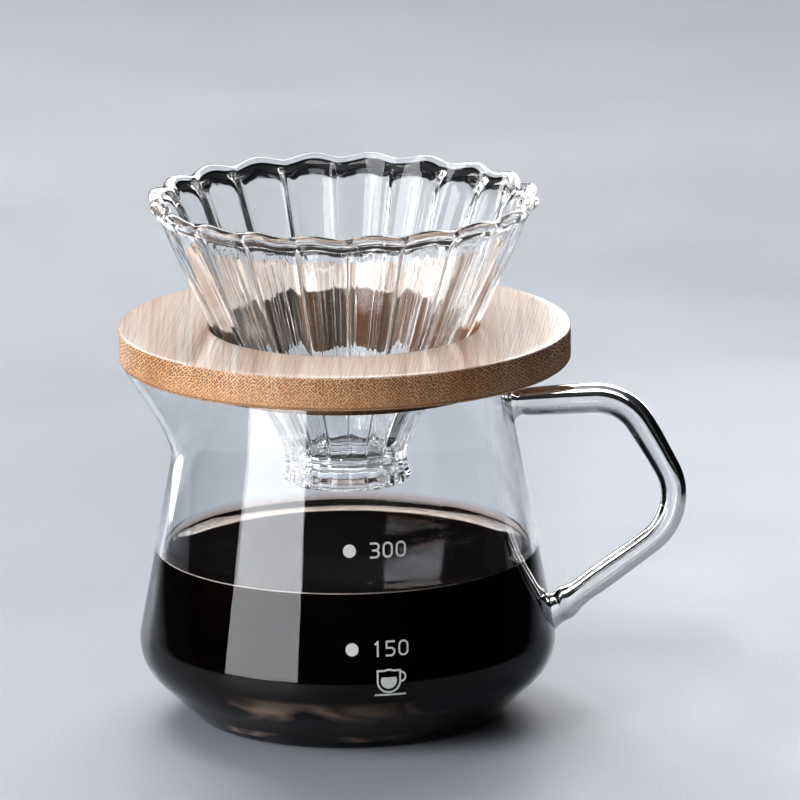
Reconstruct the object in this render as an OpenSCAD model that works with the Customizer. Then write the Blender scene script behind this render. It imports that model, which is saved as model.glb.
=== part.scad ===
// Pour over coffee set: a fluted glass dripper in a bamboo stand ring,
// standing on a glass server with a pouring lip, a rod handle and coffee in it.
// Millimetres. +Z is up, +X is the handle side, -Y is the front with the marks.
// The origin is the centre of the server's flat base.

/* [Server] */
// Radius of the flat base, where it meets the sloping lower wall
base_r = 35.2; // [28:0.1:42]
// Outside radius where the lower wall and the upper wall would meet
belly_r = 49.6; // [40:0.1:60]
// Height where the lower wall and the upper wall would meet
belly_z = 13.7; // [8:0.1:22]
// Outside radius at the foot of the neck
neck_r = 39.3; // [30:0.1:45]
// Height of the foot of the neck
neck_z = 68.5; // [55:0.5:78]
// Outside radius of the mouth
mouth_r = 38.2; // [30:0.1:45]
// Height of the mouth's rounded rim
rim_z = 84.6; // [70:0.1:100]
// Thickness of the blown wall
wall = 1.8; // [1.2:0.1:3]
// Extra thickness of the floor over the wall
floor_extra = 0.8; // [0:0.1:3]
// Rounding of the belly
belly_round = 12; // [4:0.5:20]

/* [Pouring lip] */
// Reach of the lip's tip from the server's axis
lip_reach = 52.2; // [44:0.1:60]
// Outside radius of the lip's nose
lip_nose = 9.4; // [5:0.1:14]
// Height where the lip starts to leave the wall
lip_start_z = 62; // [50:0.5:70]
// Height of the lip's edge, a little under the rim
lip_z = 83.6; // [75:0.1:90]

/* [Handle] */
// Radius of the bent glass rod
rod_r = 2.95; // [2:0.05:4]
// Height of the rod's upper joint
rod_top_z = 73.6; // [60:0.1:80]
// Outer corner of the upper bend, from the axis
bend_top_x = 63.6; // [55:0.1:75]
// Height of the upper bend's corner
bend_top_z = 74.6; // [65:0.1:80]
// Outer corner of the lower bend, from the axis
bend_low_x = 80.3; // [70:0.1:90]
// Height of the lower bend's corner
bend_low_z = 47; // [35:0.1:60]
// Height of the rod's lower joint
rod_low_z = 22.2; // [15:0.1:35]
// Radius of the upper bend's centre line
bend_top_r = 9; // [5:0.5:16]
// Radius of the lower bend's centre line
bend_low_r = 14; // [6:0.5:18]

/* [Coffee] */
// Height of the coffee's level surface
coffee_z = 38.3; // [10:0.1:55]

/* [Marks] */
// Height of the 300 millilitre mark
mark_300_z = 49.3; // [30:0.1:60]
// Height of the 150 millilitre mark
mark_150_z = 27; // [15:0.1:40]
// Height of the middle of the cup symbol
cup_z = 19.6; // [12:0.1:30]
// Height of the digits
digit_h = 3.6; // [2:0.1:6]
// Width of a digit
digit_w = 2.35; // [1.5:0.05:4]
// Width of the printed strokes
stroke = 0.45; // [0.2:0.05:0.8]
// Radius of the dots
dot_r = 1.5; // [0.8:0.05:2.5]
// Thickness of the print
print_t = 0.12; // [0.05:0.01:0.3]

/* [Stand ring] */
// Radius of the bamboo disc
ring_r = 52.5; // [45:0.5:60]
// Thickness of the bamboo disc
ring_t = 7.9; // [5:0.1:12]
// Radius of the hole that holds the dripper
ring_hole_r = 31.3; // [25:0.1:38]
// Radius of the step that drops into the server's mouth
step_r = 35.6; // [30:0.1:40]
// Depth of the step
step_h = 5.1; // [2:0.1:8]
// Bevel on the disc's edges
ring_bevel = 0.5; // [0.1:0.1:1.5]

/* [Dripper] */
// Number of flutes round the cone
flutes = 20; // [12:1:30]
// Radius of the cone's crests under the rim
cone_top_r = 43.8; // [35:0.1:55]
// Height of the cone's top, under the rim
cone_top_z = 120.4; // [110:0.1:130]
// Radius of the crests where the cone sits in the ring
seat_r = 31; // [25:0.1:38]
// Radius of the waist above the foot
waist_r = 14.4; // [10:0.1:20]
// Height of the waist
waist_z = 62.3; // [55:0.1:70]
// Height of the foot's lower edge
foot_z = 55.9; // [45:0.1:62]
// Thickness of the pressed glass wall
cone_wall = 2; // [1.2:0.1:3.5]
// Radius of the rolled rim's cross section
bead_r = 1.3; // [0.8:0.1:2]
// Radius of the outlet in the floor
outlet_r = 8.5; // [4:0.1:11]
// Angle of one crest from the +X axis
flute_turn = 11.2; // [0:0.1:18]

/* [Output] */
// Sub-part to draw

/* [Hidden] */
$fn = 96;
glass = [0.86, 0.91, 0.93, 0.45];
bamboo = [0.82, 0.62, 0.40];
coffee_colour = [0.07, 0.03, 0.02];
white = [0.95, 0.95, 0.94];

ring_top_z = rim_z + ring_t;

// Corners of the server's outer outline from the base up: radius, height, rounding.
outline = [[0, 0, 0], [base_r, 0, 3], [belly_r, belly_z, belly_round], [neck_r, neck_z, 30],
           [mouth_r, rim_z - wall / 2, 0]];

// Section of the dripper's wall, up the outside, over the rim and down the inside:
// height, crest radius, flute depth.
bead_mid = cone_top_z + bead_r;
dripper_rows = [
    [foot_z, waist_r - 0.2, 1],
    [foot_z + 0.4, waist_r + 0.3, 1],
    [foot_z + 1.3, waist_r + 0.7, 1],
    [foot_z + 2.2, waist_r + 0.3, 1],
    [foot_z + 3.2, waist_r + 0.05, 1],
    [waist_z - 1, waist_r - 0.1, 1],
    [waist_z + 1, waist_r + 0.1, 1],
    [waist_z + 3.3, waist_r + 0.9, 1],
    [waist_z + 8.2, waist_r + 3.2, 1],
    [waist_z + 18, waist_r + 8.8, 1],
    [ring_top_z, seat_r, 1],
    [ring_top_z + 12, seat_r + (cone_top_r - seat_r) * 0.44, 1],
    [cone_top_z, cone_top_r, 1],
    [cone_top_z + 0.3, cone_top_r + 0.9, 1],
    [bead_mid - 0.5, cone_top_r + 1.6, 1],
    [bead_mid + 0.3, cone_top_r + 1.9, 1],
    [bead_mid + 0.9, cone_top_r + 1.6, 1],
    [bead_mid + bead_r, cone_top_r + 0.7, 1],
    [bead_mid + bead_r, cone_top_r - 0.1, 1],
    [bead_mid + 0.9, cone_top_r - 0.8, 1],
    [bead_mid, cone_top_r - 1, 1],
    [cone_top_z - 0.6, cone_top_r - cone_wall - 0.3, 1],
    [ring_top_z + 12, seat_r + (cone_top_r - seat_r) * 0.44 - cone_wall, 1],
    [ring_top_z, seat_r - cone_wall, 1],
    [waist_z + 18, waist_r + 8.8 - cone_wall, 1],
    [waist_z + 8.2, waist_r + 3.2 - cone_wall, 1],
    [waist_z + 3.3, waist_r + 0.9 - cone_wall, 1],
    [waist_z + 1.2, waist_r - 0.8 - cone_wall, 0.5],
    [waist_z + 1, outlet_r + 0.4, 0],
    [waist_z + 0.6, outlet_r, 0],
    [waist_z - 0.6, outlet_r, 0],
    [waist_z - 1, outlet_r + 0.4, 0],
    [waist_z - 1.2, waist_r - cone_wall - 0.6, 0],
    [foot_z + 0.4, waist_r - cone_wall, 0]
];

// ---- helpers ----

function unit(v) = v / norm(v);
function side(a, b) = let (d = unit([b[0] - a[0], b[1] - a[1]])) [-d[1], d[0]];

// Moves an outline inwards by t, keeping it parallel; the first point stays on the axis.
function inset(c, t) = [
    for (i = [0:len(c) - 1])
        let (n1 = side(c[max(i - 1, 0)], c[max(i, 1)]),
             n2 = side(c[min(i, len(c) - 2)], c[min(i + 1, len(c) - 1)]),
             m = (n1 + n2) / (1 + n1 * n2),
             turn = n1[0] * n2[1] - n1[1] * n2[0])
        [i == 0 ? 0 : c[i][0] + t * m[0],
         i == len(c) - 1 ? c[i][1] : c[i][1] + t * m[1],
         c[i][2] == 0 ? 0 : c[i][2] - sign(turn) * t]
];

// The points of one rounded corner, from the incoming side to the outgoing side.
function corner(a, p, b) =
    let (n1 = side(a, p), n2 = side(p, b),
         m = (n1 + n2) / (1 + n1 * n2),
         turn = n1[0] * n2[1] - n1[1] * n2[0],
         s = sign(turn),
         centre = [p[0] + s * p[2] * m[0], p[1] + s * p[2] * m[1]],
         a1 = atan2(-s * n1[1], -s * n1[0]),
         sweep = s * acos(n1 * n2),
         steps = max(1, ceil(abs(sweep) / 6)))
    [for (k = [0:steps]) centre + p[2] * [cos(a1 + sweep * k / steps), sin(a1 + sweep * k / steps)]];

function rounded(c) = [
    for (i = [0:len(c) - 1])
        each (c[i][2] == 0 ? [[c[i][0], c[i][1]]] : corner(c[i - 1], c[i], c[i + 1]))
];

// Corners of the server's inner outline, with the floor and heel left thicker.
hollow = let (c = inset(outline, wall))
    [for (i = [0:len(c) - 1]) [c[i][0], c[i][1] + (i < 2 ? floor_extra : 0), c[i][2]]];

// The space inside an outline turned round the axis.
module turned(c) {
    pts = rounded(c);
    rotate_extrude()
        polygon(concat(pts, [[0, pts[len(pts) - 1][1]]]));
}

// The server as if it were solid, t inside its outer surface.
module server_solid(t) {
    turned(inset(outline, t));
}

// A thin round plate under height z, centred at x.
module disc(x, r, z) {
    translate([x, 0, z - 0.5])
        cylinder(r = r, h = 0.5, $fn = 72);
}

// The pouring lip as if it were solid: a blunt wedge from the wall out to its nose.
// It starts d inside the server's outer surface, with its nose t thinner, and ends at height top.
module lip_solid(d, t, top) {
    hull() {
        disc(0, neck_r - d, lip_start_z);
        disc(0, mouth_r - d, top);
        disc(lip_nose - lip_reach, lip_nose - t, lip_z);
        disc(lip_nose - lip_reach, lip_nose - t, top);
    }
}

// One round of the dripper's wall: height, crest radius and flute depth, 0 for a plain circle.
function flower(row) =
    let (n = 6, w = 180 / flutes, p = row[1] / 1.42, a = 0.42 * p)
    [for (k = [0:flutes - 1], j = [0:n - 1])
        let (t = -w + 2 * w * j / n,
             lobe = p * cos(t) + sqrt(a * a - pow(p * sin(t), 2)),
             d = row[1] + (lobe - row[1]) * row[2],
             v = t + 2 * w * k + flute_turn)
        [d * cos(v), d * sin(v), row[0]]];

// The distance from a bend's corner to where its arc starts.
function reach(a, p, b, r) = r * tan(acos(unit(p - a) * unit(b - p)) / 2);

// Sections through a bend that turns clockwise at p: x, z, angle, half width, half height.
function bend(a, p, b, r, w1, w2) =
    let (n1 = side(a, p), n2 = side(p, b), c = p - r * (n1 + n2) / (1 + n1 * n2),
         a1 = atan2(n1[1], n1[0]), sweep = acos(n1 * n2), steps = 12)
    [for (k = [0:steps])
        let (t = a1 - sweep * k / steps, w = w1 + (w2 - w1) * k / steps)
        [c[0] + r * cos(t), c[1] + r * sin(t), t, w, w]];

// A skin over rounds of points; every round has the same number of points.
module skin(rounds, closed) {
    n = len(rounds[0]);
    m = len(rounds);
    polyhedron(
        points = [for (r = rounds, p = r) p],
        faces = concat(
            [for (i = [0:m - (closed ? 1 : 2)], j = [0:n - 1])
                [i * n + j, ((i + 1) % m) * n + j, ((i + 1) % m) * n + (j + 1) % n]],
            [for (i = [0:m - (closed ? 1 : 2)], j = [0:n - 1])
                [i * n + j, ((i + 1) % m) * n + (j + 1) % n, i * n + (j + 1) % n]],
            closed ? [] : [[for (j = [0:n - 1]) j]],
            closed ? [] : [[for (j = [n - 1:-1:0]) (m - 1) * n + j]]
        ),
        convexity = 6
    );
}

// Prints a flat shape on the server's front wall.
module printed() {
    difference() {
        intersection() {
            rotate([90, 0, 0])
                translate([0, 0, 30])
                    linear_extrude(height = 30)
                        children();
            server_solid(-print_t);
        }
        server_solid(0);
    }
}

// ---- digits, each standing on y = 0 with its left side at x = 0 ----

module bowl(w, h) {
    r = w / 2;
    difference() {
        union() {
            translate([r, r])
                circle(r = r, $fn = 48);
            translate([r, h - r])
                circle(r = r, $fn = 48);
            translate([0, r])
                square([w, h - w]);
        }
        translate([r, r])
            circle(r = r - stroke, $fn = 48);
        translate([r, h - r])
            circle(r = r - stroke, $fn = 48);
        translate([stroke, r])
            square([w - 2 * stroke, h - w]);
    }
}

module digit_0() {
    bowl(digit_w, digit_h);
}

module digit_1() {
    translate([digit_w * 0.45, 0])
        square([stroke, digit_h]);
    translate([digit_w * 0.45 + stroke / 2, digit_h])
        rotate(-140)
            square([digit_w * 0.45, stroke]);
}

module digit_3() {
    r = (digit_h + stroke) / 4;
    for (y = [r, digit_h - r])
        translate([digit_w - r, y])
            difference() {
                circle(r = r, $fn = 48);
                circle(r = r - stroke, $fn = 48);
                translate([-2 * r, -r + stroke + (y > r ? -stroke : 0)])
                    square([2 * r, 2 * r - stroke]);
            }
    for (y = [0, digit_h / 2 - stroke / 2, digit_h - stroke])
        translate([y == 0 || y > digit_h / 2 ? 0.1 : 0.6, y])
            square([digit_w - r - (y == 0 || y > digit_h / 2 ? 0.1 : 0.6), stroke]);
}

module digit_5() {
    r = (digit_h * 0.6) / 2;
    translate([digit_w - r, r])
        difference() {
            circle(r = r, $fn = 48);
            circle(r = r - stroke, $fn = 48);
            translate([-2 * r, -r + stroke])
                square([2 * r, 2 * r - 2 * stroke]);
        }
    translate([0.1, 0])
        square([digit_w - r - 0.1, stroke]);
    translate([0.1, 2 * r - stroke])
        square([digit_w - r - 0.1, stroke]);
    translate([0.1, 2 * r - stroke])
        square([stroke, digit_h - 2 * r + stroke]);
    translate([0.1, digit_h - stroke])
        square([digit_w - 0.2, stroke]);
}

// A dot on the axis line and the three digits to the right of it.
module mark_row(x, z) {
    translate([x, z])
        circle(r = dot_r, $fn = 48);
    translate([x + 4.6, z - digit_h / 2])
        children(0);
    translate([x + 4.6 + digit_w + 0.65, z - digit_h / 2])
        children(1);
    translate([x + 4.6 + 2 * (digit_w + 0.65), z - digit_h / 2])
        children(2);
}

// ---- sub-parts ----

module server_body() {
    outer = rounded(outline);
    inner = rounded(hollow);
    rim = [mouth_r - wall / 2, rim_z - wall / 2];
    color(glass)
        difference() {
            union() {
                rotate_extrude()
                    polygon(concat(
                        outer,
                        [for (t = [15:15:165]) rim + wall / 2 * [cos(t), sin(t)]],
                        [for (i = [len(inner) - 1:-1:0]) inner[i]]
                    ));
                // pouring lip, rooted in the middle of the wall
                difference() {
                    lip_solid(wall / 2, 0, lip_z);
                    turned(concat(inset(outline, wall / 2), [[mouth_r - wall / 2, rim_z + 2, 0]]));
                }
            }
            // channel of the lip, cut through the wall and the rim
            lip_solid(wall + 1.5, wall, rim_z + 2);
        }
}

module server_handle() {
    a = [neck_r - 1.3, rod_top_z];
    b = [bend_top_x, bend_top_z];
    c = [bend_low_x, bend_low_z];
    d = [belly_r - 2.35, rod_low_z];
    u = unit(c - d);
    rows = concat(
        [
            [a[0], a[1], 90, rod_r + 1, rod_r + 1.3],
            [a[0] + 1.2, a[1], 90, rod_r + 0.7, rod_r + 0.9],
            [a[0] + 2.6, a[1] + 0.1, 90, rod_r + 0.3, rod_r + 0.4],
            [a[0] + 5, a[1] + 0.2, 88, rod_r + 0.2, rod_r + 0.2]
        ],
        bend(a, b, c, bend_top_r, rod_r + 0.1, rod_r - 0.3),
        bend(b, c, d, bend_low_r, rod_r - 0.35, rod_r - 0.2),
        [
            [d[0] + 14 * u[0], d[1] + 14 * u[1], -52, rod_r, rod_r + 0.1],
            [d[0] + 7 * u[0], d[1] + 7 * u[1], -54, rod_r + 0.1, rod_r + 0.35],
            [d[0] + 4 * u[0], d[1] + 4 * u[1] - 0.2, -66, rod_r + 0.4, rod_r + 0.9],
            [d[0] + 1.6 * u[0], d[1] + 1.6 * u[1] - 0.2, -80, rod_r + 0.7, rod_r + 1.2],
            [d[0], d[1], -90, rod_r + 0.8, rod_r + 1.6]
        ]
    );
    color(glass)
        skin([
            for (s = rows)
                [for (j = [0:31])
                    let (t = 360 * j / 32)
                    [s[0] + s[4] * cos(t) * cos(s[2]), s[3] * sin(t), s[1] + s[4] * cos(t) * sin(s[2])]]
        ], false);
}

module coffee() {
    color(coffee_colour)
        intersection() {
            turned(hollow);
            cylinder(r = belly_r + 5, h = coffee_z);
        }
}

module mark_300() {
    color(white)
        printed()
            mark_row(0.8, mark_300_z) {
                digit_3();
                digit_0();
                digit_0();
            }
}

module mark_150() {
    color(white)
        printed()
            mark_row(1.2, mark_150_z) {
                digit_1();
                digit_5();
                digit_0();
            }
}

module cup_symbol() {
    color(white)
        printed()
            translate([10, cup_z])
                union() {
                    // saucer
                    translate([-3.7, -3.4])
                        square([7.2, 0.45]);
                    // bowl of the cup
                    difference() {
                        union() {
                            translate([-0.4, 0])
                                circle(r = 2.8, $fn = 64);
                            translate([-3.2, 0])
                                square([5.6, 2.6]);
                        }
                        translate([-0.4, 0])
                            circle(r = 2.35, $fn = 64);
                        translate([-2.75, 0])
                            square([4.7, 2.15]);
                    }
                    // coffee in the cup
                    difference() {
                        translate([-0.4, 0.1])
                            circle(r = 1.85, $fn = 64);
                        translate([-3, 0.9])
                            square([5, 3]);
                    }
                    // cup handle
                    difference() {
                        translate([2.3, 0.9])
                            circle(r = 1.3, $fn = 48);
                        translate([2.3, 0.9])
                            circle(r = 0.85, $fn = 48);
                        translate([-0.4, 0])
                            circle(r = 2.8, $fn = 64);
                        translate([-0.4, 0])
                            square([2.8, 2.6]);
                    }
                }
}

module stand_ring() {
    b = ring_bevel;
    color(bamboo)
        rotate_extrude()
            polygon([
                [ring_hole_r, rim_z - step_h + b],
                [ring_hole_r + b, rim_z - step_h],
                [step_r - b, rim_z - step_h],
                [step_r, rim_z - step_h + b],
                [step_r, rim_z],
                [ring_r - b, rim_z],
                [ring_r, rim_z + b],
                [ring_r, ring_top_z - b],
                [ring_r - b, ring_top_z],
                [ring_hole_r + b, ring_top_z],
                [ring_hole_r, ring_top_z - b]
            ]);
}

module dripper() {
    color(glass)
        skin([for (row = dripper_rows) flower(row)], true);
}

server_body();
server_handle();
coffee();
mark_300();
mark_150();
cup_symbol();
stand_ring();
dripper();
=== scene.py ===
"""Visual model of a pour over set: fluted glass dripper on a bamboo ring, over a glass server of coffee.

All lengths in the tables below are millimetres in the CAD frame; meshes are made in metres.
"""

import math

import bpy
import numpy as np
from mathutils import Matrix, Vector


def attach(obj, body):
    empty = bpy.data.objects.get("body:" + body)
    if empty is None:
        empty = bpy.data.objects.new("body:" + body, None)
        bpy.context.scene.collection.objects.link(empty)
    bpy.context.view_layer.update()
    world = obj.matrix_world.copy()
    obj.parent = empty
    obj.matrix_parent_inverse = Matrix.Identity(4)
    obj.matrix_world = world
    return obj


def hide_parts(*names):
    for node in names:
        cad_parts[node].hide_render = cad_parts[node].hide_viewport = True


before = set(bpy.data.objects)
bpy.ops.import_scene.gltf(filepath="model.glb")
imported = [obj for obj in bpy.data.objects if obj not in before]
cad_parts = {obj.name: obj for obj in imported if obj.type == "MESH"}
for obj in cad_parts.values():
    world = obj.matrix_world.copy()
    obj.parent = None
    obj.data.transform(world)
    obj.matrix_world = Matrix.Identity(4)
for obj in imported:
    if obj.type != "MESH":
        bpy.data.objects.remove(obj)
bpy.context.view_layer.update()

MM = 0.001

# ---- sizes of the set, as in the CAD or close to it ----
WALL = 1.8
FLOOR_EXTRA = 0.8
RIM_Z = 84.6
MOUTH_R = 38.2
# the drink's flat level, its rise at the glass and the height of the wet film above that
COFFEE_LEVEL = 37.6
MENISCUS = 1.5
FILM = 2.6
# the server's outside: radius, height and rounding of the corner there
OUTLINE = [
    (0, 0, 0),
    (35.2, 0, 3),
    (49.6, 13.7, 12),
    (39.3, 68.5, 30),
    (MOUTH_R, RIM_Z - WALL / 2, 0),
]
LIP_ANGLE = 180.0
LIP_NOSE_R = 9.4
LIP_REACH = 14.2
LIP_START_Z = 60.0
LIP_Z = 83.6
LIP_SOFT = 0.12
LIP_DROP = 1.0
LIP_DROP_ANGLE = 19.0
# how far the floor's middle is raised, outside and inside
PUSH_UP = 1.1
INNER_RISE = 0.5
ROD_R = 2.95
# the handle's upper end, its two corners and its lower end, as x and z
ROD_PATH = [(38.0, 73.4), (65.0, 74.6), (80.6, 47.0), (47.25, 22.4)]
FLUTES = 20
FLUTE_TURN = 11.2
RING_TOP = 92.5
RING_R = 52.5
RING_HOLE_R = 31.3
RING_STEP_R = 35.6
RING_STEP_Z = 79.5


# ---- outlines ----
def side(a, b):
    """The direction to the left of the way from a to b."""
    d = np.array([b[0] - a[0], b[1] - a[1]], float)
    d /= np.hypot(*d)
    return np.array([-d[1], d[0]])


def inset(path, t):
    """The path moved inwards by t, parallel to itself."""
    out, last = [], len(path) - 1
    for i, (x, y, f) in enumerate(path):
        n1 = side(path[max(i - 1, 0)], path[max(i, 1)])
        n2 = side(path[min(i, last - 1)], path[min(i + 1, last)])
        m = (n1 + n2) / (1 + n1 @ n2)
        turn = n1[0] * n2[1] - n1[1] * n2[0]
        out.append(
            (
                0 if i == 0 else x + t * m[0],
                y if i == last else y + t * m[1],
                0 if f == 0 else f - math.copysign(t, turn),
            )
        )
    return out


def rounded(path, turn_step=4.0):
    """The path's points with each corner turned into an arc."""
    out = []
    for i, (x, y, f) in enumerate(path):
        if f == 0:
            out.append((x, y))
            continue
        n1, n2 = side(path[i - 1], (x, y)), side((x, y), path[i + 1])
        m = (n1 + n2) / (1 + n1 @ n2)
        s = math.copysign(1, n1[0] * n2[1] - n1[1] * n2[0])
        centre = np.array([x, y]) + s * f * m
        a1 = math.atan2(-s * n1[1], -s * n1[0])
        sweep = s * math.acos(max(-1, min(1, n1 @ n2)))
        steps = max(1, math.ceil(abs(math.degrees(sweep)) / turn_step))
        for k in range(steps + 1):
            a = a1 + sweep * k / steps
            out.append((centre[0] + f * math.cos(a), centre[1] + f * math.sin(a)))
    return out


def dense(points, step):
    """The same line with no stretch longer than step."""
    out = [points[0]]
    for a, b in zip(points, points[1:]):
        n = max(1, math.ceil(math.dist(a, b) / step))
        out += [tuple(a[k] + (b[k] - a[k]) * j / n for k in range(len(a))) for j in range(1, n + 1)]
    return out


def smooth_rows(rows, parts, closed):
    """Catmull-Rom through rows of numbers."""
    p = np.array(rows, float)
    n = len(p)
    out = []
    for i in range(n if closed else n - 1):
        if closed:
            a, b, c, d = (p[(i + k) % n] for k in (-1, 0, 1, 2))
        else:
            a, b, c, d = (p[min(max(i + k, 0), n - 1)] for k in (-1, 0, 1, 2))
        l0, l1, l2 = (max(np.linalg.norm((v - u)[:2]), 1e-6) for u, v in ((a, b), (b, c), (c, d)))
        # tangents that allow for uneven spacing
        m1 = (c - b) - (l1 / (l0 + l1)) * (c - a) + (l1 / l0) * (b - a) if l0 > 1e-5 else c - b
        m2 = (c - b) - (l1 / (l1 + l2)) * (d - b) + (l1 / l2) * (d - c) if l2 > 1e-5 else c - b
        for j in range(parts):
            t = j / parts
            h00, h10 = 2 * t**3 - 3 * t**2 + 1, t**3 - 2 * t**2 + t
            h01, h11 = -2 * t**3 + 3 * t**2, t**3 - t**2
            out.append(h00 * b + h10 * m1 + h01 * c + h11 * m2)
    if not closed:
        out.append(p[-1])
    return np.array(out)


def smoothstep(a, b, x):
    """A soft rise from 0 at a to 1 at b; a may be the larger."""
    t = np.clip((x - a) / (b - a), 0, 1)
    return t * t * (3 - 2 * t)


# ---- meshes ----
def grid_object(name, rows, closed=False, start=None, end=None):
    """A smooth mesh over rounds of points, in millimetres; start and end are points that close it."""
    rows = np.asarray(rows, float)
    m, n = rows.shape[:2]
    verts = [tuple(v) for v in (rows.reshape(-1, 3) * MM)]
    faces = []
    for i in range(m if closed else m - 1):
        a, b = i * n, ((i + 1) % m) * n
        faces += [(a + j, a + (j + 1) % n, b + (j + 1) % n, b + j) for j in range(n)]
    if start is not None:
        verts.append(tuple(np.array(start) * MM))
        faces += [((j + 1) % n, j, len(verts) - 1) for j in range(n)]
    if end is not None:
        verts.append(tuple(np.array(end) * MM))
        a = (m - 1) * n
        faces += [(a + j, a + (j + 1) % n, len(verts) - 1) for j in range(n)]
    mesh = bpy.data.meshes.new(name)
    mesh.from_pydata(verts, [], faces)
    mesh.polygons.foreach_set("use_smooth", [True] * len(mesh.polygons))
    mesh.update()
    obj = bpy.data.objects.new(name, mesh)
    bpy.context.scene.collection.objects.link(obj)
    return obj


def lathe_rows(points, columns):
    """Rounds of points for an outline of radius and height turned about the axis."""
    a = np.linspace(0, 2 * math.pi, columns, endpoint=False)
    return np.array(
        [np.stack([r * np.cos(a), r * np.sin(a), np.full(columns, z)], 1) for r, z in points]
    )


def lip_reach(z):
    """How far the lip's nose stands out from the round wall at height z."""
    x = ((min(z, LIP_Z) - LIP_START_Z) / (LIP_Z - LIP_START_Z) - LIP_SOFT) / (1 - LIP_SOFT)
    g = (x + math.sqrt(x * x + LIP_SOFT**2)) / 2
    return LIP_REACH * g * float(smoothstep(57, 66, z))


def lip_row(r, z, depth, columns):
    """One round of the server at radius r and height z, that far inside the outer surface."""
    a = np.linspace(0, 2 * math.pi, columns, endpoint=False)
    psi = np.abs((a - math.radians(LIP_ANGLE) + math.pi) % (2 * math.pi) - math.pi)
    p = lip_reach(z)
    nose = LIP_NOSE_R - depth
    c = r + p - nose
    radius = np.full(columns, float(r))
    if p > 1e-4:
        edge = math.acos((r - nose) / c)
        meet = math.atan2(nose * math.sin(edge), c + nose * math.cos(edge))
        flat = (psi < edge) & (psi >= meet)
        radius[flat] = r / np.cos(edge - psi[flat])
        tip = psi < meet
        radius[tip] = c * np.cos(psi[tip]) + np.sqrt(nose**2 - (c * np.sin(psi[tip])) ** 2)
    # the corner between wall and lip is soft in the real glass
    soft = radius.copy()
    for shift in range(1, 7):
        soft += np.roll(radius, shift) + np.roll(radius, -shift)
    radius = soft / 13
    drop = LIP_DROP * np.exp(-((psi / math.radians(LIP_DROP_ANGLE)) ** 2))
    drop *= float(smoothstep(70, 84, z))
    return np.stack([radius * np.cos(a), radius * np.sin(a), z - drop], 1)


def inner_wall():
    """The server's inside, from the middle of the floor to the mouth."""
    path = inset(OUTLINE, WALL)
    path = [(x, y + (FLOOR_EXTRA if i < 2 else 0), f) for i, (x, y, f) in enumerate(path)]
    return dense(rounded(path), 1.6)


def make_server():
    """One blown wall: up the outside, over the rounded brim and down the inside."""
    columns = 288
    outer = dense(rounded(OUTLINE), 1.6)
    inner = inner_wall()
    inner_floor = WALL + FLOOR_EXTRA
    rows = []
    for r, z in outer[1:]:
        if z < 0.01:
            # the underside is pushed up a little inside the ring it stands on
            lift = PUSH_UP * float(smoothstep(31.5, 24, r))
            rows.append(lip_row(r, z + lift, 0, columns))
        else:
            rows.append(lip_row(r, z, 0, columns))
    for k in range(1, 12):
        a = math.pi * k / 12
        r = MOUTH_R - WALL / 2 + WALL / 2 * math.cos(a)
        rows.append(lip_row(r, RIM_Z - WALL / 2 + WALL / 2 * math.sin(a), MOUTH_R - r, columns))
    for r, z in reversed(inner[1:]):
        if z < inner_floor + 0.1:
            z += INNER_RISE * float(smoothstep(31, 20, r))
        rows.append(lip_row(r, z, WALL, columns))
    middle = (0, 0, inner_floor + INNER_RISE)
    obj = grid_object("server_glass", rows, start=(0, 0, PUSH_UP), end=middle)
    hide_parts("server_body")
    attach(obj, "server")
    return obj


# the coffee's materials, in the order in which it gets them
BODY_MAT, FILM_MAT, SURFACE_MAT, PAINTED_LINE_MAT = range(4)


def make_coffee():
    """The drink, curling up at the glass, with a wet film above it where it has washed the wall."""
    columns = 256
    wall = inner_wall()
    wall_z, wall_r = [z for _, z in wall], [r for r, _ in wall]

    def at_wall(z, inward):
        return (float(np.interp(z, wall_z, wall_r)) - inward, z)

    contact = COFFEE_LEVEL + MENISCUS
    film_top = contact + FILM
    low = [(r + 0.12, z - 0.1 if z < 3 else z) for r, z in wall[1:] if z < contact - 0.3]
    points = low + [at_wall(contact - 0.1, -0.12), at_wall(contact, -0.05)]
    body_end = len(points) - 1
    points += [at_wall(contact + 0.25, 0.02), at_wall(contact + FILM / 2, 0.02)]
    points += [at_wall(film_top, 0.03), at_wall(film_top + 0.05, 0.1)]
    points += [at_wall(contact + FILM / 2, 0.13), at_wall(contact + 0.35, 0.17)]
    film_end = len(points) - 1
    edge_r = at_wall(contact, 0.2)[0]
    # the surface curls up where it meets the glass
    for d in (0.0, 0.12, 0.3, 0.5, 0.75, 1.05, 1.4, 1.8, 2.3, 3, 4, 5.2, 7, 9, 12, 16, 21, 27, 34, 40):
        points.append((edge_r - d, COFFEE_LEVEL + MENISCUS * math.exp(-d / 2.0)))
    obj = grid_object(
        "coffee_fill", lathe_rows(points, columns), start=(0, 0, 2.5), end=(0, 0, COFFEE_LEVEL)
    )
    for polygon in obj.data.polygons:
        row = polygon.vertices[0] // columns
        if row < body_end:
            polygon.material_index = BODY_MAT
        # the row where the drink meets the glass gets the painted highlight line
        elif row == body_end:
            polygon.material_index = PAINTED_LINE_MAT
        elif row < film_end:
            polygon.material_index = FILM_MAT
        else:
            polygon.material_index = SURFACE_MAT
    # the last faces close the underside and then the middle of the surface
    for polygon in obj.data.polygons[-2 * columns : -columns]:
        polygon.material_index = BODY_MAT
    for polygon in obj.data.polygons[-columns:]:
        polygon.material_index = SURFACE_MAT
    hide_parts("coffee")
    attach(obj, "server")
    return obj


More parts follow.
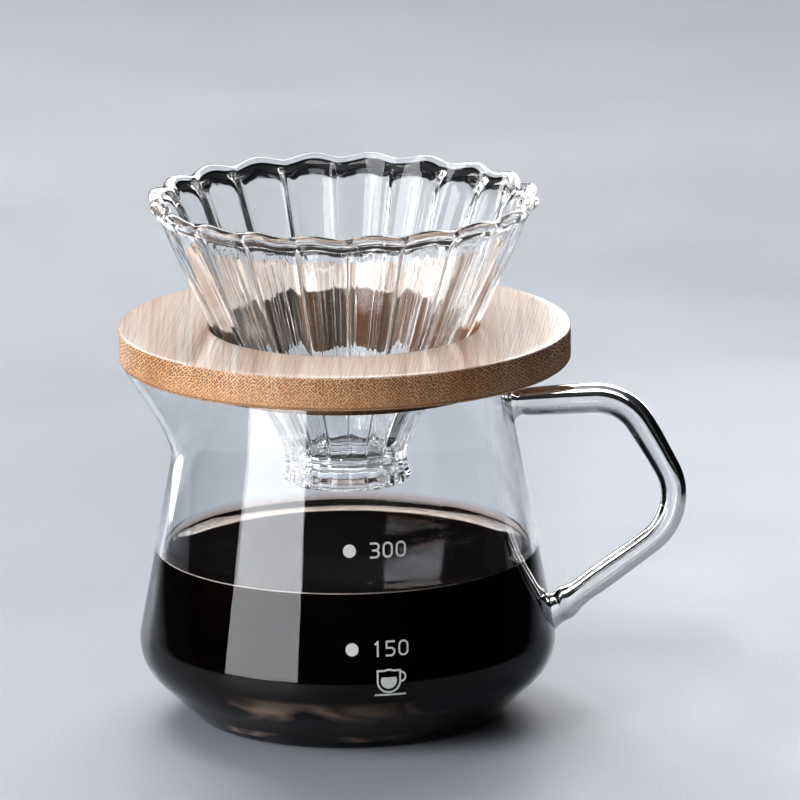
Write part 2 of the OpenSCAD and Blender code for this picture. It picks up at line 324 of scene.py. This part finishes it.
def bend_rows(a, p, b, r, w1, w2, steps=20):
    """Rows of x, z, turn and two half widths round the bend of radius r at p, from a towards b."""
    a, p, b = (np.array(v, float) for v in (a, p, b))
    n1, n2 = side(a, p), side(p, b)
    c = p - r * (n1 + n2) / (1 + n1 @ n2)
    a1, sweep = math.atan2(n1[1], n1[0]), math.acos(n1 @ n2)
    out = []
    for k in range(steps + 1):
        t = a1 - sweep * k / steps
        w = w1 + (w2 - w1) * k / steps
        out.append((c[0] + r * math.cos(t), c[1] + r * math.sin(t), math.degrees(t), w, w))
    return out


def make_handle():
    """A bent rod, thicker where it is melted on to the server at either end."""
    rod = ROD_R
    a, b, c, d = ROD_PATH
    u = np.subtract(c, d) / math.dist(c, d)
    rows = [
        (a[0], a[1], 90, rod + 1.6, rod + 2.0),
        (a[0] + 1.4, a[1], 90, rod + 1.0, rod + 1.2),
        (a[0] + 2.6, a[1] + 0.1, 90, rod + 0.2, rod + 0.25),
        (a[0] + 5, a[1] + 0.2, 88, rod + 0.3, rod + 0.35),
    ]
    rows += bend_rows(a, b, c, 12, rod + 0.55, rod + 0.45)
    rows += bend_rows(b, c, d, 14, rod + 0.1, rod)
    for along, turn, wide, high in (
        (14, -52, 0.1, 0.2),
        (7.5, -54, 0.2, 0.2),
        (4.6, -62, 0.9, 1.0),
        (2.6, -74, 0.5, 0.8),
        (0, -90, 1.2, 2.0),
    ):
        rows.append((d[0] + along * u[0], d[1] + along * u[1], turn, rod + wide, rod + high))
    rows = smooth_rows(rows, 3, False)
    t = np.linspace(0, 2 * math.pi, 56, endpoint=False)
    rounds = []
    for x, z, turn, wide, high in rows:
        s = math.radians(turn)
        out = high * np.cos(t)
        rounds.append(np.stack([x + out * math.cos(s), wide * np.sin(t), z + out * math.sin(s)], 1))
    ends = [(row[0], 0, row[1]) for row in (rows[0], rows[-1])]
    obj = grid_object("server_handle_rod", rounds, start=ends[0], end=ends[1])
    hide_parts("server_handle")
    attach(obj, "server")
    return obj


def make_ring():
    """The bamboo disc, with a step below that drops into the server's mouth."""
    path = [
        (RING_HOLE_R, RING_STEP_Z + 3, 0),
        (RING_HOLE_R, RING_STEP_Z, 0.6),
        (RING_STEP_R, RING_STEP_Z, 0.6),
        (RING_STEP_R, RIM_Z, 0.15),
        (RING_R, RIM_Z, 0.7),
        (RING_R, RING_TOP, 0.55),
        (RING_HOLE_R, RING_TOP, 0.6),
        (RING_HOLE_R, RING_STEP_Z + 3.1, 0),
    ]
    points = dense(rounded(path, 15), 2.5)
    obj = grid_object("bamboo_ring", lathe_rows(points, 256), closed=True)
    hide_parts("stand_ring")
    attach(obj, "ring")
    return obj


# Section of the dripper's wall: height, crest radius, flute depth, softness of the crease, inner rib.
DRIPPER_ROWS = [
    (55.9, 14.2, 1.0, 0.1, 0),
    (56.3, 14.7, 1.0, 0.1, 0),
    (57.2, 15.1, 1.0, 0.1, 0),
    (58.1, 14.8, 1.0, 0.1, 0),
    (59.1, 14.5, 1.0, 0.09, 0),
    (61.3, 14.3, 1.0, 0.08, 0),
    (63.3, 14.5, 1.0, 0.07, 0),
    (65.6, 15.3, 1.0, 0.06, 0),
    (70.5, 17.6, 1.0, 0.05, 0),
    (80.3, 23.2, 1.0, 0.05, 0),
    (92.5, 31.0, 1.0, 0.05, 0),
    (104.5, 36.63, 1.0, 0.05, 0),
    (113.5, 40.7, 1.0, 0.06, 0),
    (119.4, 43.4, 0.9, 0.1, 0),
    (120.2, 44.3, 0.8, 0.16, 0),
    (121.0, 45.2, 0.75, 0.2, 0),
    (121.9, 45.6, 0.75, 0.22, 0),
    (122.6, 45.3, 0.75, 0.22, 0),
    (123.0, 44.5, 0.75, 0.22, 0),
    (122.95, 43.6, 0.75, 0.22, 0),
    (122.4, 42.8, 0.75, 0.22, 0.1),
    (121.4, 42.3, 0.7, 0.2, 0.35),
    (119.6, 41.35, 0.45, 0.16, 0.8),
    (113.5, 38.2, 0.15, 0.14, 1),
    (104.5, 33.9, 0.1, 0.12, 1),
    (92.5, 28.3, 0.1, 0.12, 1),
    (80.3, 20.7, 0.1, 0.12, 1),
    (70.5, 15.2, 0.1, 0.12, 1),
    (65.6, 12.9, 0.1, 0.15, 0.8),
    (63.7, 11.4, 0.1, 0.2, 0),
    (63.3, 8.9, 0.0, 0.2, 0),
    (62.9, 8.5, 0.0, 0.2, 0),
    (61.7, 8.5, 0.0, 0.2, 0),
    (61.3, 8.9, 0.0, 0.2, 0),
    (61.0, 11.6, 0.0, 0.2, 0),
    (59.0, 12.3, 0.3, 0.2, 0),
    (56.4, 12.6, 0.6, 0.2, 0),
    (55.95, 13.2, 0.9, 0.15, 0),
]
ROW_PARTS = 3
OUTER_ROWS = 13
# a lobe's radius as a share of its centre's distance from the axis
LOBE = 0.32
# heights as shares of the radius there, and a width as a share of half a flute
STREAK = 0.0008
RIB = 0.034
RIB_WIDTH = 0.17
RIM_LIFT, RIM_WAVE = 0.7, 1.0


def make_dripper():
    """Lobed glass outside, a smooth cone with a rib at each crease inside, and a wavy rim."""
    columns_each = 36
    columns = FLUTES * columns_each
    table = [(r, z, d, s, rib) for z, r, d, s, rib in DRIPPER_ROWS]
    rows = smooth_rows(table, ROW_PARTS, True)
    half = 180 / FLUTES
    # columns lie closer together at the creases
    t = (np.arange(columns) % columns_each) / columns_each * 2 - 1
    u = np.sign(t) * (1 - (1 - np.abs(t)) ** 1.5)
    lobe_index = np.arange(columns) // columns_each
    angle = np.radians(lobe_index * 2 * half + u * half + FLUTE_TURN)
    near = 1 - np.abs(u)
    # drawn lines down each lobe, different in every one
    rng = np.random.default_rng(11)
    streaks = np.zeros(columns)
    for cycles, size in ((2.3, 1.0), (3.7, 0.8), (5.3, 0.55)):
        shift = rng.uniform(0, 2 * math.pi, FLUTES)[lobe_index]
        pace = cycles * (1 + 0.15 * rng.uniform(-1, 1, FLUTES)[lobe_index])
        streaks += size * np.sin(math.pi * pace * u + shift)
    streaks *= smoothstep(0.0, 0.25, near)
    out = []
    for index, (r, z, depth, soft, rib) in enumerate(rows):
        outside = float(smoothstep(60, 68, z) * (1 - smoothstep(117.5, 119.5, z)))
        outside *= index < ROW_PARTS * OUTER_ROWS
        # round off the crease between two lobes
        v = np.radians(half) * np.clip(1 + soft - np.sqrt(near**2 + soft**2), 0, 1)
        p = r / (1 + LOBE)
        lobe = p * np.cos(v) + np.sqrt((LOBE * p) ** 2 - (p * np.sin(v)) ** 2)
        radius = r + (lobe - lobe.max()) * depth
        radius += outside * STREAK * r * streaks
        radius -= rib * RIB * r * np.exp(-((near / RIB_WIDTH) ** 2))
        wave = 0.5 * (1 - np.cos(math.pi * (u + 1.2)))
        lift = (RIM_LIFT - RIM_WAVE * (1 - wave)) * float(smoothstep(117, 121.5, z))
        out.append(np.stack([radius * np.cos(angle), radius * np.sin(angle), z + lift], 1))
    obj = grid_object("dripper_glass", out, closed=True)
    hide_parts("dripper")
    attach(obj, "dripper")
    return obj


server = make_server()
handle = make_handle()
coffee = make_coffee()
ring = make_ring()
dripper = make_dripper()


# ---- materials ----
class Nodes:
    """Short calls for building a node tree."""

    def __init__(self, name, world=None):
        if world is None:
            self.mat = bpy.data.materials.new(name)
        else:
            self.mat = world
        self.mat.use_nodes = True
        self.tree = self.mat.node_tree
        self.tree.nodes.clear()

    def add(self, kind, inputs=None, **props):
        node = self.tree.nodes.new(kind)
        for key, value in props.items():
            setattr(node, key, value)
        for key, value in (inputs or {}).items():
            self.put(node.inputs[key], value)
        return node

    def put(self, socket, value):
        if isinstance(value, bpy.types.NodeSocket):
            self.tree.links.new(value, socket)
        else:
            socket.default_value = value

    def math(self, operation, a, b):
        return self.add("ShaderNodeMath", {0: a, 1: b}, operation=operation).outputs[0]

    def span(self, value, low, high, to_low=0.0, to_high=1.0):
        """The value's range low to high stretched to a new range."""
        stretch = {"Value": value, 1: low, 2: high, 3: to_low, 4: to_high}
        return self.add("ShaderNodeMapRange", stretch).outputs[0]

    def ramp(self, factor, stops):
        node = self.add("ShaderNodeValToRGB", {"Fac": factor})
        elements = node.color_ramp.elements
        while len(elements) < len(stops):
            elements.new(0.5)
        for element, (place, colour) in zip(elements, stops):
            element.position = place
            if isinstance(colour, (int, float)):
                colour = (colour,) * 3
            element.color = (*colour, 1)
        return node.outputs["Color"]

    def mix(self, factor, a, b, blend="MIX"):
        node = self.add("ShaderNodeMix", data_type="RGBA", blend_type=blend)
        self.put(node.inputs["Factor"], factor)
        self.put(node.inputs[6], a)
        self.put(node.inputs[7], b)
        return node.outputs[2]

    def place(self, scale=(1, 1, 1), turn=(0, 0, 0)):
        """Object coordinates, turned and scaled."""
        co = self.add("ShaderNodeTexCoord").outputs["Object"]
        return self.add(
            "ShaderNodeMapping", {"Vector": co, "Scale": scale, "Rotation": turn}, vector_type="POINT"
        ).outputs[0]

    def noise(self, vector, scale, detail=3.0, rough=0.5):
        inputs = {"Vector": vector, "Scale": scale, "Detail": detail, "Roughness": rough}
        return self.add("ShaderNodeTexNoise", inputs).outputs["Fac"]

    def bump(self, height, strength, distance, normal=None):
        node = self.add("ShaderNodeBump", {"Height": height, "Strength": strength, "Distance": distance})
        if normal is not None:
            self.put(node.inputs["Normal"], normal)
        return node.outputs[0]

    def finish(self, shader):
        self.add("ShaderNodeOutputMaterial", {"Surface": shader})
        return self.mat


def assign(obj, mat):
    obj.data.materials.clear()
    obj.data.materials.append(mat)


def glass_material(name, tint, wave_scale, wave_strength, ior=1.47, shade=(1, 1, 1), streaks=0.0):
    """Clear borosilicate glass with the faint waviness and dust of a hand-finished piece."""
    n = Nodes(name)
    co = n.place()
    slow = n.noise(n.place((1, 1, 0.35)), wave_scale, 2.0, 0.4)
    fine = n.noise(co, 900, 3.0, 0.6)
    specks = n.ramp(fine, [(0.0, 0.004), (0.66, 0.01), (0.74, 0.09)])
    normal = n.bump(slow, wave_strength, 0.0006)
    if streaks:
        # drawn lines that run up and down the wall
        xyz = n.add("ShaderNodeSeparateXYZ", {0: co})
        around = n.math("ARCTAN2", xyz.outputs["Y"], xyz.outputs["X"])
        inputs = {"W": around, "Scale": 26.0, "Detail": 1.0, "Roughness": 0.5}
        lines = n.add("ShaderNodeTexNoise", inputs, noise_dimensions="1D").outputs["Fac"]
        wall = n.ramp(
            n.span(xyz.outputs["Z"], 0.07, 0.12),
            [(0.0, 0.0), (0.3, 1.0), (0.93, 1.0), (0.98, 0.0)],
        )
        normal = n.bump(n.math("MULTIPLY", lines, wall), streaks, 0.0008, normal)
    shader = n.add(
        "ShaderNodeBsdfPrincipled",
        {
            "Base Color": (*tint, 1),
            "Roughness": specks,
            "IOR": ior,
            "Transmission Weight": 1.0,
            "Normal": normal,
        },
    ).outputs[0]
    facing = n.add("ShaderNodeLayerWeight", {"Blend": 0.35}).outputs["Facing"]
    stops = ((0.0, 0.95), (0.35, 0.84), (0.6, 0.45), (1.0, 0.1))
    cast = n.ramp(facing, [(place, tuple(pass_ * c for c in shade)) for place, pass_ in stops])
    clear = n.add("ShaderNodeBsdfTransparent", {"Color": cast}).outputs[0]
    shadow = n.add("ShaderNodeLightPath").outputs["Is Shadow Ray"]
    both = n.add("ShaderNodeMixShader", {0: shadow, 1: shader, 2: clear}).outputs[0]
    return n.finish(both)


def coffee_material(name, ior):
    """Brewed coffee: nearly black with red-brown swirls, and painted copper glints low down that stand
    in for light.
    """
    n = Nodes(name)
    co = n.place()
    swirl = n.noise(n.place((1, 1, 1.6)), 60, 4.0, 0.6)
    colour = n.ramp(swirl, [(0.35, (0.0016, 0.0009, 0.0007)), (0.7, (0.008, 0.0032, 0.0018))])
    # painted glints: copper colour low down stands in for light that gets in under the drink
    height = n.add("ShaderNodeSeparateXYZ", {0: co}).outputs["Z"]
    curls = n.noise(n.place((1, 1, 3.5)), 34, 2.0, 0.45)
    band = n.ramp(
        n.span(height, 0.0, 0.02),
        [(0.125, 0.0), (0.135, 1.0), (0.2, 1.0), (0.23, 0.0), (0.42, 0.1), (0.56, 0.9), (0.72, 0.0)],
    )
    painted_glint = n.math("MULTIPLY", n.ramp(curls, [(0.47, 0.0), (0.54, 1.0), (0.58, 0.2), (0.66, 0.8)]), band)
    colour = n.mix(painted_glint, colour, (1.0, 0.72, 0.58, 1))
    ripple = n.noise(co, 140, 2.0, 0.5)
    rough = n.ramp(ripple, [(0.3, 0.02), (0.8, 0.06)])
    shader = n.add(
        "ShaderNodeBsdfPrincipled",
        {"Base Color": colour, "Roughness": rough, "IOR": ior, "Normal": n.bump(ripple, 0.04, 0.0005)},
    ).outputs[0]
    return n.finish(shader)


def film_material():
    """The thin brown film that the drink leaves on the glass above its surface."""
    n = Nodes("coffee_film")
    co = n.place()
    height = n.add("ShaderNodeSeparateXYZ", {0: co}).outputs["Z"]
    low = COFFEE_LEVEL + MENISCUS
    rise = n.span(height, low * MM, (low + FILM) * MM)
    uneven = n.math("MULTIPLY", n.math("SUBTRACT", n.noise(co, 120, 3.0, 0.6), 0.5), 0.4)
    patch = n.math("ADD", rise, uneven)
    tint = n.ramp(
        patch, [(0.0, (0.66, 0.46, 0.36)), (0.5, (0.85, 0.74, 0.68)), (0.95, (0.98, 0.97, 0.96))]
    )
    shader = n.add(
        "ShaderNodeBsdfPrincipled",
        {
            "Base Color": tint,
            "Roughness": n.ramp(patch, [(0.0, 0.02), (1.0, 0.08)]),
            "IOR": 1.03,
            "Transmission Weight": 1.0,
        },
    ).outputs[0]
    clear = n.add("ShaderNodeBsdfTransparent", {"Color": tint}).outputs[0]
    shadow = n.add("ShaderNodeLightPath").outputs["Is Shadow Ray"]
    return n.finish(n.add("ShaderNodeMixShader", {0: shadow, 1: shader, 2: clear}).outputs[0])


def painted_level_highlight_material():
    """Painted highlight: the bright line where the drink is drawn up against the glass."""
    n = Nodes("coffee_line_painted_highlight")
    uneven = n.noise(n.place(), 300, 2.0, 0.5)
    shader = n.add(
        "ShaderNodeBsdfPrincipled",
        {
            "Base Color": n.ramp(uneven, [(0.35, (0.75, 0.62, 0.56)), (0.65, (0.9, 0.84, 0.8))]),
            "Roughness": n.ramp(uneven, [(0.3, 0.25), (0.7, 0.45)]),
        },
    ).outputs[0]
    return n.finish(shader)


def print_material():
    """White enamel print, slightly uneven."""
    n = Nodes("white_print")
    co = n.place()
    grain = n.noise(co, 2600, 3.0, 0.6)
    colour = n.ramp(grain, [(0.25, (0.72, 0.72, 0.7)), (0.6, (0.86, 0.86, 0.84))])
    rough = n.ramp(grain, [(0.2, 0.35), (0.8, 0.6)])
    shader = n.add(
        "ShaderNodeBsdfPrincipled",
        {"Base Color": colour, "Roughness": rough, "Normal": n.bump(grain, 0.25, 0.00005)},
    ).outputs[0]
    return n.finish(shader)


def bamboo_material():
    """Solid bamboo with its fibres lying front to back: lines on the top, dots on the front edge."""
    n = Nodes("bamboo_wood")
    turn = (0, 0, math.radians(5))
    along = n.place((1, 0.014, 1), turn)
    where = n.add("ShaderNodeTexCoord")
    height = n.add("ShaderNodeSeparateXYZ", {0: where.outputs["Object"]}).outputs["Z"]
    upward = n.add("ShaderNodeSeparateXYZ", {0: where.outputs["Normal"]}).outputs["Z"]
    face = n.span(upward, 0.3, 0.8)
    # fibre bundles: small dark spots across the grain in staggered rows
    grain = n.add("ShaderNodeSeparateXYZ", {0: n.place((1, 1, 1), turn)})
    wander = n.math("MULTIPLY", n.noise(n.place((1, 0.3, 1), turn), 70, 2.0, 0.5), 0.0012)
    across = n.math("ADD", grain.outputs["X"], wander)
    level = grain.outputs["Z"]
    diagonals = {0: n.math("ADD", across, level), 1: n.math("SUBTRACT", across, level)}
    stagger = n.add("ShaderNodeCombineXYZ", diagonals).outputs[0]
    cells = n.add(
        "ShaderNodeTexVoronoi",
        {"Vector": stagger, "Scale": 1180.0, "Randomness": 0.5},
        feature="F1",
        voronoi_dimensions="2D",
    ).outputs["Distance"]
    spots = n.ramp(cells, [(0.22, 1.0), (0.41, 0.0)])
    skin = n.span(height, (RIM_Z + 0.6) * MM, (RING_TOP - 1.6) * MM, 0.6, 1.0)
    patchy = n.noise(n.place((1, 0.1, 1), turn), 120, 2.0, 0.5)
    strength = n.math("MULTIPLY", skin, n.ramp(patchy, [(0.3, 0.85), (0.65, 1.0)]))
    on_edge = n.ramp(face, [(0.0, 1.0), (1.0, 0.2)])
    dots = n.math("MULTIPLY", n.math("MULTIPLY", spots, strength), on_edge)
    lines = n.noise(along, 1100, 5.0, 0.7)
    bands = n.noise(n.place((1, 0.02, 0.2), turn), 260, 3.0, 0.6)
    edge = n.ramp(
        bands, [(0.3, (0.66, 0.34, 0.16)), (0.5, (0.76, 0.43, 0.22)), (0.7, (0.83, 0.52, 0.30))]
    )
    top = n.ramp(
        bands, [(0.3, (0.68, 0.46, 0.34)), (0.5, (0.83, 0.64, 0.52)), (0.7, (0.90, 0.77, 0.68))]
    )
    base = n.mix(face, edge, top)
    base = n.mix(n.ramp(lines, [(0.34, 0.6), (0.52, 0.0)]), base, (0.44, 0.25, 0.14, 1))
    colour = n.mix(dots, base, (0.045, 0.018, 0.008, 1))
    # a dark line painted just above the lower edge
    low_dark_line = n.ramp(
        n.span(height, RIM_Z * MM, (RIM_Z + 2) * MM),
        [(0.25, 0.0), (0.3, 0.6), (0.38, 0.6), (0.44, 0.0)],
    )
    flat = n.add("ShaderNodeVectorMath", {0: n.place((1, 1, 0))}, operation="LENGTH").outputs["Value"]
    low_dark_line = n.math("MULTIPLY", low_dark_line, n.math("GREATER_THAN", flat, 0.05))
    colour = n.mix(low_dark_line, colour, (0.14, 0.06, 0.025, 1))
    bump = n.bump(lines, 0.3, 0.00015)
    bump = n.bump(n.math("SUBTRACT", 1.0, spots), 0.2, 0.0001, bump)
    shader = n.add(
        "ShaderNodeBsdfPrincipled",
        {
            "Base Color": colour,
            "Roughness": n.ramp(lines, [(0.3, 0.5), (0.7, 0.36)]),
            "Normal": bump,
            "Coat Weight": n.ramp(face, [(0.0, 0.04), (1.0, 0.42)]),
            "Coat Roughness": 0.16,
            "Specular IOR Level": 0.35,
        },
    ).outputs[0]
    return n.finish(shader)


def floor_material():
    """Pale speckled table top, which turns charcoal further off in reflections and through glass."""
    n = Nodes("floor_pale")
    co = n.place()
    fine = n.noise(co, 1300, 4.0, 0.7)
    broad = n.noise(co, 14, 3.0, 0.5)
    colour = n.ramp(fine, [(0.3, (0.46, 0.495, 0.56)), (0.7, (0.56, 0.59, 0.655))])
    colour = n.mix(n.ramp(broad, [(0.3, 0.0), (0.7, 0.25)]), colour, (0.51, 0.535, 0.59, 1))
    # painted light: a little paler further off, standing in for light that falls there
    away = n.add("ShaderNodeVectorMath", {0: co}, operation="LENGTH").outputs["Value"]
    pale = n.span(away, 0.2, 0.6, 0.0, 0.85)
    colour = n.mix(pale, colour, (0.77, 0.785, 0.82, 1))
    shader = n.add(
        "ShaderNodeBsdfPrincipled",
        {
            "Base Color": colour,
            "Roughness": n.ramp(broad, [(0.3, 0.42), (0.7, 0.55)]),
            "Specular IOR Level": 0.3,
            "Normal": n.bump(fine, 0.12, 0.0003),
        },
    ).outputs[0]
    path = n.add("ShaderNodeLightPath")
    near = n.span(away, 0.20, 0.32)
    far = n.span(away, 0.70, 0.80)
    mirror = n.math("MULTIPLY", path.outputs["Is Glossy Ray"], path.outputs["Is Reflection Ray"])
    mirrored = n.math("MULTIPLY", near, mirror)
    bent = n.math("MULTIPLY", far, path.outputs["Is Transmission Ray"])
    dark = n.math("MAXIMUM", mirrored, bent)
    charcoal = n.add("ShaderNodeBsdfDiffuse", {"Color": (0.02, 0.023, 0.028, 1)}).outputs[0]
    return n.finish(n.add("ShaderNodeMixShader", {0: dark, 1: shader, 2: charcoal}).outputs[0])


clear = glass_material("clear_glass", (0.965, 0.975, 0.985), 55, 0.12)
fluted = glass_material(
    "fluted_glass", (0.99, 0.995, 0.993), 90, 0.10, shade=(0.95, 0.86, 0.77), streaks=0.13
)
rod_glass = glass_material("rod_glass", (0.985, 0.992, 0.992), 45, 0.2, ior=1.56)
assign(server, clear)
assign(handle, rod_glass)
assign(dripper, fluted)
# the drink shines little where it lies against the glass, and more on its open surface
coffee.data.materials.append(coffee_material("coffee_body", 1.04))
coffee.data.materials.append(film_material())
coffee.data.materials.append(coffee_material("coffee_surface", 1.65))
# the level line is a painted highlight
coffee.data.materials.append(painted_level_highlight_material())
assign(ring, bamboo_material())
printed = print_material()
for name in ("mark_300", "mark_150", "cup_symbol"):
    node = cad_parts[name]
    for index in range(len(node.material_slots)):
        node.material_slots[index].material = printed


# ---- floor ----
def make_floor():
    rings = [0.02, 0.05, 0.1, 0.2, 0.4, 0.8, 1.5, 3.0, 6.0]
    obj = grid_object("floor", lathe_rows([(r / MM, 0) for r in rings], 96), start=(0, 0, 0))
    obj.data.flip_normals()
    assign(obj, floor_material())


make_floor()
bpy.context.view_layer.update()


# ---- light ----
def panel(
    name,
    azimuth,
    height,
    distance,
    size,
    radiance,
    colour=(1, 1, 1),
    upright=False,
    seen=True,
    lit=True,
    through=True,
):
    """A soft rectangular light whose middle is at that height and level distance from the axis.

    Azimuth is degrees left of the camera, seen from the object. A panel that is seen shows in
    gloss, and through glass too unless through is off. One that is lit throws light on the
    table and the wood.
    """
    a = math.radians(azimuth)
    place = Vector((-math.sin(a) * distance, -math.cos(a) * distance, height))
    aim = Vector((0, 0, height if upright else 0.06)) - place
    data = bpy.data.lights.new(name, "AREA")
    data.shape = "RECTANGLE"
    data.size, data.size_y = size
    data.energy = radiance * math.pi * size[0] * size[1]
    data.color = colour
    obj = bpy.data.objects.new(name, data)
    obj.location = place
    obj.rotation_euler = aim.to_track_quat("-Z", "Y").to_euler()
    obj.visible_camera = False
    obj.visible_diffuse = lit
    obj.visible_glossy = seen
    obj.visible_transmission = seen and through
    bpy.context.scene.collection.objects.link(obj)


panel("window", 46.5, 0.26, 0.42, (0.315, 0.52), 5.8, (0.96, 0.97, 1.0), upright=True, lit=False)
panel("window_light", 58, 0.36, 0.9, (0.75, 0.8), 4.4, (1.0, 0.99, 0.98), seen=False)
panel("key_left", 154, 0.93, 0.86, (0.34, 0.34), 12.6, (1.0, 0.995, 0.985), seen=False)
panel("key_right", 207, 0.90, 0.90, (0.38, 0.38), 3.6, (0.98, 0.99, 1.0), seen=False)
panel("edge_light", 141, 0.27, 0.36, (0.075, 0.54), 4.0, upright=True, lit=False)
panel("back_high", 180, 0.56, 0.70, (0.98, 0.40), 4.8, lit=False)
panel("overhead", 12, 0.9, 0.3, (0.5, 0.3), 3.6, lit=False)
panel("sheen_right", 202, 0.19, 0.45, (0.24, 0.24), 3.6, upright=True, lit=False, through=False)

world = bpy.data.worlds.new("studio")
bpy.context.scene.world = world
w = Nodes("studio", world)
direction = w.add("ShaderNodeTexCoord").outputs["Generated"]
xyz = w.add("ShaderNodeSeparateXYZ", {0: direction})
sideways = w.span(xyz.outputs["X"], -1.0, 1.0)
up = w.ramp(xyz.outputs["Z"], [(0.0, 0.02), (0.3, 0.04), (0.6, 0.2), (1.0, 0.5)])
across = w.ramp(
    sideways, [(0.0, (0.9, 0.93, 1.0)), (0.45, (0.75, 0.77, 0.82)), (0.85, (0.14, 0.14, 0.15))]
)
sky = w.mix(1.0, up, across, "MULTIPLY")
background = w.add("ShaderNodeBackground", {"Color": sky, "Strength": 1.0}).outputs[0]
w.add("ShaderNodeOutputWorld", {"Surface": background})

# ---- camera ----
TILT, ROLL = math.radians(14.0), math.radians(-0.5)
DISTANCE, RIGHT, UP = 2.3332, 0.01269, 0.02348
ahead = Vector((0, math.cos(TILT), -math.sin(TILT)))
upward = Vector((0, math.sin(TILT), math.cos(TILT)))
camera_data = bpy.data.cameras.new("camera")
camera_data.lens, camera_data.sensor_width = 450, 36
camera_data.clip_start, camera_data.clip_end = 0.01, 20
camera = bpy.data.objects.new("camera", camera_data)
spot = Vector((0, 0, 0.05)) - DISTANCE * ahead + Vector((RIGHT, 0, 0)) + UP * upward
turned = Matrix.Rotation(math.pi / 2 - TILT, 4, "X") @ Matrix.Rotation(ROLL, 4, "Z")
camera.matrix_world = Matrix.Translation(spot) @ turned
bpy.context.scene.collection.objects.link(camera)
bpy.context.scene.camera = camera

scene = bpy.context.scene
scene.view_settings.view_transform = "Standard"
scene.view_settings.look = "Medium High Contrast"
scene.cycles.max_bounces = 24
scene.cycles.transmission_bounces = 24
scene.cycles.glossy_bounces = 10
scene.cycles.diffuse_bounces = 3
scene.cycles.transparent_max_bounces = 24
scene.cycles.caustics_reflective = False
scene.cycles.caustics_refractive = False
scene.cycles.use_denoising = True
scene.cycles.sampling_pattern = "TABULATED_SOBOL"
